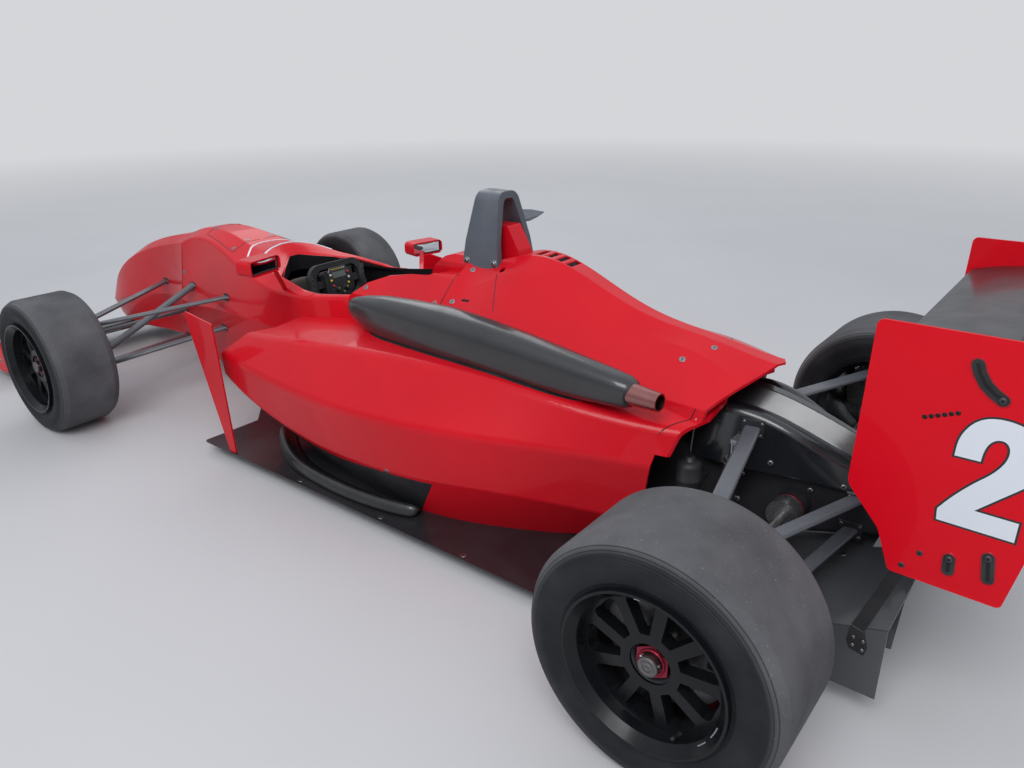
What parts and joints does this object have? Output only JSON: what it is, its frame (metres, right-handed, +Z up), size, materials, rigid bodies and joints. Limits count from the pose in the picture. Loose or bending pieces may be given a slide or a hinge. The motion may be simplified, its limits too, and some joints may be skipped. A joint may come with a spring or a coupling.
{
  "type": "open wheel racing car",
  "caption": "Single-seat open wheel racing car with front and rear wings, sidepods, slick tyres and a roll hoop.",
  "frame": {"origin": "on the ground at the middle of the car's length and width", "axes": "+X forward, +Y to the car's left, +Z up"},
  "size_m": [4.35, 1.847, 1.005],
  "materials": {
    "red_body": "gloss",
    "black_seat": "matt",
    "grey_carbon": "satin",
    "black_floor": "satin",
    "black_gloss": "gloss",
    "red_lamp": "gloss",
    "steel": "brushed",
    "aluminium": "satin",
    "cast_block": "cast",
    "grey_arms": "satin",
    "black_rim": "satin",
    "tyre": "worn"
  },
  "bodies": {
    "chassis": {"airbox_cover": "grey_carbon", "dampers": "aluminium", "diffuser": "black_floor", "engine_block": "cast_block", "engine_cover": "red_body", "exhaust_pipe": "steel", "floor": "black_floor", "front_endplates": "red_body", "front_suspension": "grey_arms", "front_wing": "grey_carbon", "gearbox": "cast_block", "gearbox_fairings": "black_gloss", "headrest": "red_body", "hoop_fairing": "red_body", "mirrors": "red_body", "nose_cone": "red_body", "radiators": "aluminium", "rear_endplates": "red_body", "rear_light": "red_lamp", "rear_suspension": "grey_arms", "rear_wing": "grey_carbon", "roll_hoop": "grey_carbon", "seat": "black_seat", "sidepod_left": "red_body", "sidepod_right": "red_body", "tub": "red_body", "turning_vanes": "red_body", "undercut_panels": "black_floor", "upright_rear_left": "aluminium", "upright_rear_right": "aluminium", "windscreen": "red_body", "wing_mount": "aluminium"},
    "steering_wheel": {"steering_wheel": "black_seat"},
    "steering_rack": {"track_rods": "grey_arms"},
    "knuckle_left": {"knuckle_front_left": "aluminium"},
    "wheel_front_left": {"tyre_front_left": "tyre", "rim_front_left": "black_rim", "hub_front_left": "steel"},
    "wheel_rear_left": {"tyre_rear_left": "tyre", "rim_rear_left": "black_rim", "hub_rear_left": "steel"},
    "knuckle_right": {"knuckle_front_right": "aluminium"},
    "wheel_front_right": {"tyre_front_right": "tyre", "rim_front_right": "black_rim", "hub_front_right": "steel"},
    "wheel_rear_right": {"tyre_rear_right": "tyre", "rim_rear_right": "black_rim", "hub_rear_right": "steel"}
  },
  "joints": [
    {"name": "steer_left", "type": "hinge", "parent": "chassis", "child": "knuckle_left", "pos_m": [1.175, 0.7275, 0.275], "axis": [0, 0, 1], "range_deg": [-16, 16]},
    {"name": "spin_front_left", "type": "hinge", "parent": "knuckle_left", "child": "wheel_front_left", "pos_m": [1.175, 0.7975, 0.275], "axis": [0, 1, 0], "continuous": true},
    {"name": "spin_rear_left", "type": "hinge", "parent": "chassis", "child": "wheel_rear_left", "pos_m": [-1.625, 0.77, 0.285], "axis": [0, 1, 0], "continuous": true},
    {"name": "steer_right", "type": "hinge", "parent": "chassis", "child": "knuckle_right", "pos_m": [1.175, -0.7275, 0.275], "axis": [0, 0, 1], "range_deg": [-16, 16]},
    {"name": "spin_front_right", "type": "hinge", "parent": "knuckle_right", "child": "wheel_front_right", "pos_m": [1.175, -0.7975, 0.275], "axis": [0, 1, 0], "continuous": true},
    {"name": "spin_rear_right", "type": "hinge", "parent": "chassis", "child": "wheel_rear_right", "pos_m": [-1.625, -0.77, 0.285], "axis": [0, 1, 0], "continuous": true},
    {"name": "rack_slide", "type": "slide", "parent": "chassis", "child": "steering_rack", "axis": [0, 1, 0], "range_m": [-0.0284, 0.0284]},
    {"name": "column_turn", "type": "hinge", "parent": "chassis", "child": "steering_wheel", "pos_m": [0.33, 0, 0.57], "axis": [-0.9781, 0, 0.2079], "range_deg": [-161, 161]}
  ],
  "couplings": [
    {"joint": "steer_right", "follows": "steer_left", "ratio": 1},
    {"joint": "rack_slide", "follows": "steer_left", "m_per_rad": 0.1},
    {"joint": "column_turn", "follows": "steer_left", "ratio": 10}
  ]
}
